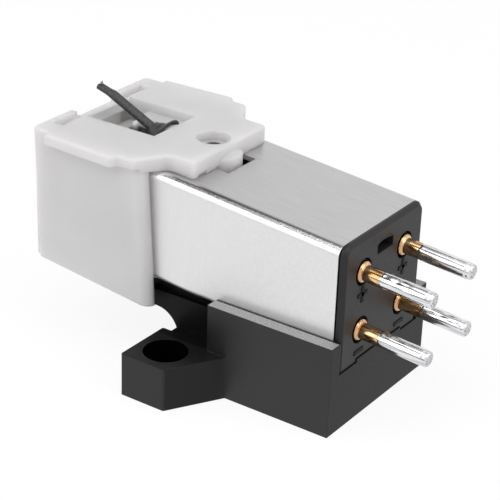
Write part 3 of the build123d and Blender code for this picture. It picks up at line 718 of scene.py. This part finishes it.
@dataclass
class TerminalEnd:
    """The terminal plate and its four gold-plated pins with tinned ends."""

    face_x: float = 9.62
    pin_y: float = 2.08
    heights: dict[str, float] = field(default_factory=lambda: {"upper": 8.76, "lower": 5.34})
    gold_length: dict[str, float] = field(
        default_factory=lambda: {
            "upper_left": 1.1,
            "upper_right": 1.0,
            "lower_left": 1.25,
            "lower_right": 1.4,
        }
    )
    pin_tilt_deg: float = 4.8
    pin_r: float = 0.45
    # A hair short of the CAD pin's facets, so that the round pin stays inside the part's box.
    pin_length: float = 4.297
    tail_r: float = 0.28
    tail_length: float = 2.60
    bead_r: float = 0.62
    bead_middle: float = -0.03
    bead_half: float = 0.18
    ring_gap: float = 0.05
    sharp_deg: float = 50.0
    end_round: float = 0.17
    dip_past: float = 0.1
    cut_depth: float = 0.03
    skin: float = 0.012
    skin_least: float = 0.003
    skin_short: float = 0.20
    skin_sunk: float = 0.01
    skin_wave: float = 0.10
    skin_rise: float = 20.0
    skin_fall: float = 14.0
    streak: float = 0.0035
    wrinkle: float = 0.028
    rings: int = 72
    segments: int = 64
    mark_length: float = 0.92
    mark_width: float = 0.24
    mark_rise: float = 0.05
    mark_offset: float = 1.30

    def build(self) -> None:
        """Dresses the plate and the pins and adds the tinned skins and the polarity marks."""
        dress("terminal_plate", GREY_ABS)
        lean = math.cos(math.radians(self.pin_tilt_deg))
        end = self.face_x + self.pin_length * lean - self.cut_depth
        for level, z in self.heights.items():
            for side, y in (("left", -self.pin_y), ("right", self.pin_y)):
                name = f"{level}_{side}"
                dip = self.face_x + (self.gold_length[name] + self.dip_past) * lean
                self.smooth_pin(name, y, z, TinnedPin(f"dipped_pin_{name}", dip_mm=dip, end_mm=end))
                self.tinned_skin(name, y, z)
                self.polarity_mark(name, y, z - self.mark_offset, upright=level == "upper")

    def pin_axis(self) -> Vector:
        """Returns the direction that the pins point in, away from the plate and a little down."""
        tilt = math.radians(self.pin_tilt_deg)
        return Vector((math.cos(tilt), 0, -math.sin(tilt)))

    def smooth_pin(self, name: str, y: float, z: float, finish: Finish) -> bpy.types.Object:
        """Makes a pin with a truly round bead, shank and end, which stands for the CAD pin.

        Args:
            name: Which pin it is.
            y: The pin's place across, in millimetres.
            z: The pin's height at the plate, in millimetres.
            finish: Its finish, with its own dip line.

        Returns:
            The pin as a piece.
        """
        middle, half, rise = self.bead_middle, self.bead_half, self.bead_r - self.pin_r
        turns = [math.pi * i / HALF_TURN_STEPS for i in range(HALF_TURN_STEPS + 1)]
        bead = [(middle - half * math.cos(t), self.pin_r + rise * math.sin(t)) for t in turns]
        # A few close rings keep the bead's shading off the shank.
        shank = [(middle + half + self.ring_gap * i, self.pin_r) for i in range(1, 4)]
        bend, start, shoulder = self.end_round, self.pin_length - self.end_round, self.pin_r - self.end_round
        corner = [(start + bend * math.sin(t / 2), shoulder + bend * math.cos(t / 2)) for t in turns]
        tail = [(-self.tail_length, 0.0), (-self.tail_length, self.tail_r), (middle - half, self.tail_r)]
        profile = tail + bead + shank + corner + [(self.pin_length, 0.0)]
        form = turned(profile, Vector((self.face_x, y, z)), self.pin_axis())
        piece = add_piece(f"turned_pin_{name}", form, finish, "cartridge_body")
        piece.data.set_sharp_from_angle(angle=math.radians(self.sharp_deg))
        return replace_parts(piece, f"pin_{name}")

    def skin_radius(self, angle: float, s: float, seed: float) -> float:
        """Gives the skin's radius: long drawn streaks all round and a few deeper wrinkles that come and go.

        Args:
            angle: Place round the pin in radians.
            s: Place along the pin in millimetres.
            seed: Number that tells the pins apart.

        Returns:
            The radius in millimetres.
        """
        round_place = Vector((math.cos(angle), math.sin(angle), 0))
        streak = noise.noise(round_place * 4.0 + Vector((seed, 0, s * 0.2)))
        patch = noise.noise(round_place * 0.8 + Vector((seed * 3, 5, s * 0.5)))
        wrinkle = noise.noise(round_place * 3.0 + Vector((seed, 9, s * 1.8)))
        depth = self.streak * streak + self.wrinkle * wrinkle * max(0.0, patch)
        return self.pin_r + max(self.skin + depth, self.skin_least)

    def tinned_skin(self, name: str, y: float, z: float) -> bpy.types.Object:
        """Makes the solder skin on a pin's outer end.

        Args:
            name: Which pin it is.
            y: The pin's place across, in millimetres.
            z: The pin's height at the plate, in millimetres.

        Returns:
            The skin as a piece.
        """
        foot = Vector((self.face_x, y, z))
        along = self.pin_axis()
        across = Vector((0, 1, 0))
        upward = along.cross(across)
        end = self.pin_length - self.skin_short
        sunk = self.pin_r - self.skin_sunk
        form = bmesh.new()
        rows = []
        for ring in range(self.rings + 1):
            share = ring / self.rings
            # The skin rises out of the pin at its start and goes back into it at its end.
            fade = min(1.0, share * self.skin_rise, (1.0 - share) * self.skin_fall)
            row = []
            for segment in range(self.segments):
                angle = 2 * math.pi * segment / self.segments
                spoke = across * math.cos(angle) + upward * math.sin(angle)
                edge = self.gold_length[name] + self.skin_wave * noise.noise(spoke * 1.7 + foot)
                s = edge + (end - edge) * share
                radius = sunk + (self.skin_radius(angle, s, y + z) - sunk) * fade
                row.append(form.verts.new((foot + along * s + spoke * radius) * MM))
            rows.append(row)
        for first, second in zip(rows, rows[1:]):
            for i in range(self.segments):
                j = (i + 1) % self.segments
                form.faces.new((first[i], first[j], second[j], second[i]))
        return add_piece(f"tinned_skin_{name}", form, TIN, "cartridge_body")

    def polarity_mark(self, name: str, y: float, z: float, upright: bool) -> bpy.types.Object:
        """Adds a raised minus under a pin, or a plus where the second bar stands upright.

        Args:
            name: Which pin it belongs to.
            y: Middle of the mark across, in millimetres.
            z: Middle of the mark's height, in millimetres.
            upright: Whether the mark has its second bar.

        Returns:
            The mark as a piece.
        """
        form = bmesh.new()
        bars = [(self.mark_length, self.mark_width)] + [(self.mark_width, self.mark_length)] * upright
        for width, height in bars:
            size = Matrix.Diagonal((self.mark_rise * MM, width * MM, height * MM, 1))
            where = Matrix.Translation(Vector((self.face_x + self.mark_rise / 4, y, z)) * MM)
            bmesh.ops.create_cube(form, size=1.0, matrix=where @ size)
        piece = add_piece(f"polarity_mark_{name}", form, MARK_ABS, "cartridge_body")
        piece.data.shade_flat()
        return piece


@dataclass
class StylusHolder:
    """The slide-on holder with the sleeve that its cantilever hangs in, and what lies in its window."""

    pivot: tuple[float, float, float] = (-4.45, 0.0, 11.485)
    arm_tilt_deg: float = 24.4
    # The boot's outline, as places along the arm from its pivot and radii: flange, cone, lip and hollow.
    boot: tuple[tuple[float, float], ...] = (
        (0.66, 1.04),
        (0.66, 1.15),
        (0.69, 1.20),
        (0.75, 1.20),
        (0.78, 1.15),
        (0.79, 0.98),
        (0.99, 0.74),
        (1.16, 0.66),
        (1.27, 0.62),
        (1.36, 0.54),
        (1.50, 0.46),
        (1.58, 0.43),
        (1.60, 0.40),
        (1.54, 0.40),
        (1.30, 0.53),
        (1.22, 0.60),
        (0.98, 0.71),
        (0.66, 1.04),
    )
    block_low: tuple[float, float, float] = (-8.3, -1.45, 10.45)
    block_high: tuple[float, float, float] = (-5.0, 1.45, 11.22)
    shelf_low: tuple[float, float, float] = (-9.1, -1.95, 10.45)
    shelf_high: tuple[float, float, float] = (-8.35, 1.95, 11.30)
    nib: tuple[float, float, float] = (-8.0, 1.15, 11.15)
    nib_r: float = 0.28
    nib_h: float = 0.55
    # A black disc in the locating bore: painted shade of a deeper hole.
    shade_disc: tuple[float, float, float] = (-1.67, 0.0, 11.90)
    shade_disc_r: float = 0.48
    shade_disc_h: float = 0.30
    segments: int = 48

    def build(self) -> None:
        """Dresses the holder and sleeve and adds the boot, two blocks, the nib and a painted shade disc."""
        dress("stylus_holder", PALE_ABS)
        dress("suspension_sleeve", PALE_ABS)
        tilt = math.radians(self.arm_tilt_deg)
        along = Vector((-math.cos(tilt), 0, math.sin(tilt)))
        form = turned(list(self.boot), Vector(self.pivot), along)
        # The outline closes on itself, so its first and last rings are one.
        bmesh.ops.remove_doubles(form, verts=form.verts, dist=1e-7)
        add_piece("damper_boot", form, BOOT_RUBBER, "holder_body")
        self.block("carrier_block", self.block_low, self.block_high, BLACK_ABS)
        self.block("front_shelf", self.shelf_low, self.shelf_high, PALE_ABS)
        upright = Vector((0, 0, 1))
        shoulder = self.nib_h - self.nib_r
        turns = [math.pi * i / HALF_TURN_STEPS for i in range(HALF_TURN_STEPS // 2)]
        dome = [(shoulder + self.nib_r * math.sin(t), self.nib_r * math.cos(t)) for t in turns]
        profile = [(0.0, 0.0), (0.0, self.nib_r)] + dome + [(self.nib_h, 0.0)]
        form = turned(profile, Vector(self.nib), upright, self.segments)
        add_piece("locating_nib", form, GLOSSY_WHITE, "holder_body")
        # The black disc paints the shade in the bore.
        stub = [(0.0, 0.0), (0.0, self.shade_disc_r), (self.shade_disc_h, self.shade_disc_r), (self.shade_disc_h, 0.0)]
        form = turned(stub, Vector(self.shade_disc), upright, self.segments)
        add_piece("bore_shade_disc", form, BLACK_ABS, "holder_body").data.shade_flat()

    def block(
        self,
        name: str,
        low: tuple[float, float, float],
        high: tuple[float, float, float],
        finish: Finish,
    ) -> bpy.types.Object:
        """Adds a plain block that rides on the holder.

        Args:
            name: Name of the piece.
            low: Its lowest corner in millimetres.
            high: Its highest corner in millimetres.
            finish: Its finish.

        Returns:
            The block as a piece.
        """
        start, end = Vector(low), Vector(high)
        form = bmesh.new()
        size = Matrix.Diagonal((*((end - start) * MM), 1))
        bmesh.ops.create_cube(form, size=1.0, matrix=Matrix.Translation((start + end) / 2 * MM) @ size)
        piece = add_piece(name, form, finish, "holder_body")
        piece.data.shade_flat()
        return piece


@dataclass
class StylusArm:
    """The cantilever with its tip, and the damper, hub and magnets at its root."""

    def build(self) -> None:
        """Dresses the moving arm."""
        dress("cantilever", ARM_METAL)
        dress("stylus_tip", DIAMOND)
        dress("damper", DAMPER_RUBBER)
        dress("magnet_hub", HUB_METAL)
        for side in ("left", "right"):
            dress(f"magnet_{side}", MAGNET_METAL)


def direction(azimuth: float, elevation: float) -> Vector:
    """Turns two angles into the direction from the part to a lamp or a camera.

    Args:
        azimuth: Angle round the part in radians, from its near side towards its rear.
        elevation: Angle above the floor in radians.

    Returns:
        The direction, one unit long.
    """
    flat = math.cos(elevation)
    return Vector((math.sin(azimuth) * flat, -math.cos(azimuth) * flat, math.sin(elevation)))


@dataclass(frozen=True)
class Softbox:
    """A soft lamp that looks at the part; its level is the share of full white on a surface that faces it."""

    name: str
    azimuth_deg: float
    elevation_deg: float
    level: float
    size_mm: float = 160.0
    distance_mm: float = 220.0

    def build(self, aim: Vector) -> None:
        """Adds the lamp.

        Args:
            aim: The point that it looks at, in metres.
        """
        back = direction(math.radians(self.azimuth_deg), math.radians(self.elevation_deg))
        data = bpy.data.lights.new(self.name, "AREA")
        data.shape = "SQUARE"
        data.size = self.size_mm * MM
        data.energy = math.pi**2 * self.level * (self.distance_mm * MM) ** 2
        lamp = bpy.data.objects.new(self.name, data)
        lamp.location = aim + back * self.distance_mm * MM
        lamp.rotation_mode = "QUATERNION"
        lamp.rotation_quaternion = (-back).to_track_quat("-Z", "Y")
        bpy.context.scene.collection.objects.link(lamp)
        LOG.info("%s gives %.2f of full white", self.name, self.level)


@dataclass(frozen=True)
class DarkFlag:
    """A dark card that only shiny surfaces see; in a studio one is hung to draw a line in polished metal."""

    name: str
    direction: tuple[float, float, float]
    size_mm: tuple[float, float]
    paint: str = "#050505"
    distance_mm: float = 250.0

    def build(self, aim: Vector) -> None:
        """Hangs the card.

        Args:
            aim: The point that it faces, in metres.
        """
        back = Vector(self.direction).normalized()
        form = bmesh.new()
        bmesh.ops.create_grid(form, x_segments=1, y_segments=1, size=0.5)
        mesh = bpy.data.meshes.new(self.name)
        form.to_mesh(mesh)
        form.free()
        coat = bpy.data.materials.new(self.name)
        coat.use_nodes = True
        coat.node_tree.nodes["Principled BSDF"].inputs["Base Color"].default_value = linear(self.paint)
        mesh.materials.append(coat)
        card = bpy.data.objects.new(self.name, mesh)
        turn = back.to_track_quat("Z", "X").to_matrix().to_4x4()
        size = Matrix.Diagonal((self.size_mm[1] * MM, self.size_mm[0] * MM, 1, 1))
        card.matrix_world = Matrix.Translation(aim + back * self.distance_mm * MM) @ turn @ size
        card.visible_camera = card.visible_diffuse = False
        card.visible_shadow = card.visible_transmission = False
        bpy.context.scene.collection.objects.link(card)
        LOG.info("%s hangs %.0f mm away", self.name, self.distance_mm)


@dataclass
class Studio:
    """Camera, soft light, white surroundings and the pale floor."""

    # The camera was solved from the photograph's edges: angles in radians, and how far the part's origin lies
    # right of, above and in front of the lens, in millimetres.
    azimuth: float = 0.5933942
    elevation: float = 0.4551177
    roll: float = 0.0374190
    focal_px: float = 1712.714
    image_px: float = 500.0
    offset: tuple[float, float, float] = (-1.059076, -5.621951, 99.322363)
    sensor_mm: float = 36.0
    aim: tuple[float, float, float] = (2.0, 0.0, 7.0)
    surround: float = 0.50
    floor_half_m: float = 2.0
    floor_drop_mm: float = 0.02
    floor_colour: str = "#F4F4F4"
    floor_glow: float = 1.03
    floor_white: float = 0.86
    lamps: tuple[Softbox, ...] = (
        Softbox("top_softbox", 20.0, 72.0, 0.30),
        Softbox("left_softbox", -38.0, 30.0, 0.30),
        Softbox("rear_softbox", 95.0, 28.0, 0.30),
    )
    flags: tuple[DarkFlag, ...] = (
        DarkFlag("overhead_flag", (-0.5, 0.0, 0.86), (360.0, 125.0), "#121212"),
        DarkFlag("horizon_flag", (-0.5, -0.866, 0.06), (400.0, 50.0), "#8A8A8A"),
    )

    def build(self) -> None:
        """Sets up the whole studio."""
        view = bpy.context.scene.view_settings
        view.view_transform = "Standard"
        self.camera()
        self.world()
        self.floor()
        for prop in self.lamps + self.flags:
            prop.build(Vector(self.aim) * MM)

    def camera(self) -> None:
        """Adds the camera at the place that was solved from the photograph's edges."""
        back = direction(self.azimuth, self.elevation)
        level = Vector((math.cos(self.azimuth), math.sin(self.azimuth), 0))
        rise = back.cross(level)
        right = level * math.cos(self.roll) + rise * math.sin(self.roll)
        up = rise * math.cos(self.roll) - level * math.sin(self.roll)
        place = back * self.offset[2] - right * self.offset[0] - up * self.offset[1]
        data = bpy.data.cameras.new("camera")
        data.sensor_width = self.sensor_mm
        data.lens = self.focal_px * data.sensor_width / self.image_px
        data.clip_start, data.clip_end = 0.005, 10.0
        eye = bpy.data.objects.new("camera", data)
        turn = Matrix((right, up, back)).transposed().to_4x4()
        eye.matrix_world = Matrix.Translation(place * MM) @ turn
        bpy.context.scene.collection.objects.link(eye)
        bpy.context.scene.camera = eye
        LOG.info("the camera has a %.1f mm lens", data.lens)

    def seen(self, tree: bpy.types.NodeTree) -> bpy.types.NodeSocket:
        """Tells the rays that show a thing from those that only bring its light.

        Args:
            tree: The tree of the world or the floor.

        Returns:
            1 for rays from the camera, from gloss and through glass, and else 0.
        """
        path = add_node(tree, "ShaderNodeLightPath").outputs
        shown = path["Is Camera Ray"]
        for ray in ("Is Glossy Ray", "Is Transmission Ray"):
            settings = {"operation": "MAXIMUM", 0: shown, 1: path[ray]}
            shown = add_node(tree, "ShaderNodeMath", settings).outputs[0]
        return shown

    def world(self) -> None:
        """Makes the surroundings: white to the eye and in gloss, a plain soft level as light."""
        world = bpy.data.worlds.new("white_surround")
        world.use_nodes = True
        tree = world.node_tree
        tree.nodes.clear()
        settings = {"Value": self.seen(tree), "To Min": self.surround, "To Max": 1.0}
        level = add_node(tree, "ShaderNodeMapRange", settings).outputs[0]
        light = add_node(tree, "ShaderNodeBackground", {"Color": "#FFFFFF", "Strength": level}).outputs[0]
        add_node(tree, "ShaderNodeOutputWorld", {"Surface": light})
        bpy.context.scene.world = world

    def floor(self) -> None:
        """Lays the pale floor, which shows as white and keeps a faint shadow."""
        form = bmesh.new()
        bmesh.ops.create_grid(form, x_segments=1, y_segments=1, size=self.floor_half_m)
        mesh = bpy.data.meshes.new("floor")
        form.to_mesh(mesh)
        form.free()
        made = bpy.data.materials.new("white_card_floor")
        made.use_nodes = True
        tree = made.node_tree
        tree.nodes.clear()
        card = add_node(tree, "ShaderNodeBsdfDiffuse", {"Color": self.floor_colour}).outputs[0]
        settings = {"Color": "#FFFFFF", "Strength": self.floor_glow}
        glow = add_node(tree, "ShaderNodeEmission", settings).outputs[0]
        settings = {"operation": "MULTIPLY", 0: self.seen(tree), 1: self.floor_white}
        share = add_node(tree, "ShaderNodeMath", settings).outputs[0]
        both = add_node(tree, "ShaderNodeMixShader", {0: share, 1: card, 2: glow}).outputs[0]
        add_node(tree, "ShaderNodeOutputMaterial", {"Surface": both})
        mesh.materials.append(made)
        laid = bpy.data.objects.new("floor", mesh)
        laid.location = (0, 0, -self.floor_drop_mm * MM)
        bpy.context.scene.collection.objects.link(laid)
        LOG.info("the floor is laid")


def main() -> None:
    """Builds the sub-assemblies and the studio in order."""
    logging.basicConfig(level=logging.INFO, format="%(name)s: %(message)s")
    for assembly in (CanAndBase(), TerminalEnd(), StylusHolder(), StylusArm(), Studio()):
        assembly.build()


if __name__ == "__main__":
    main()
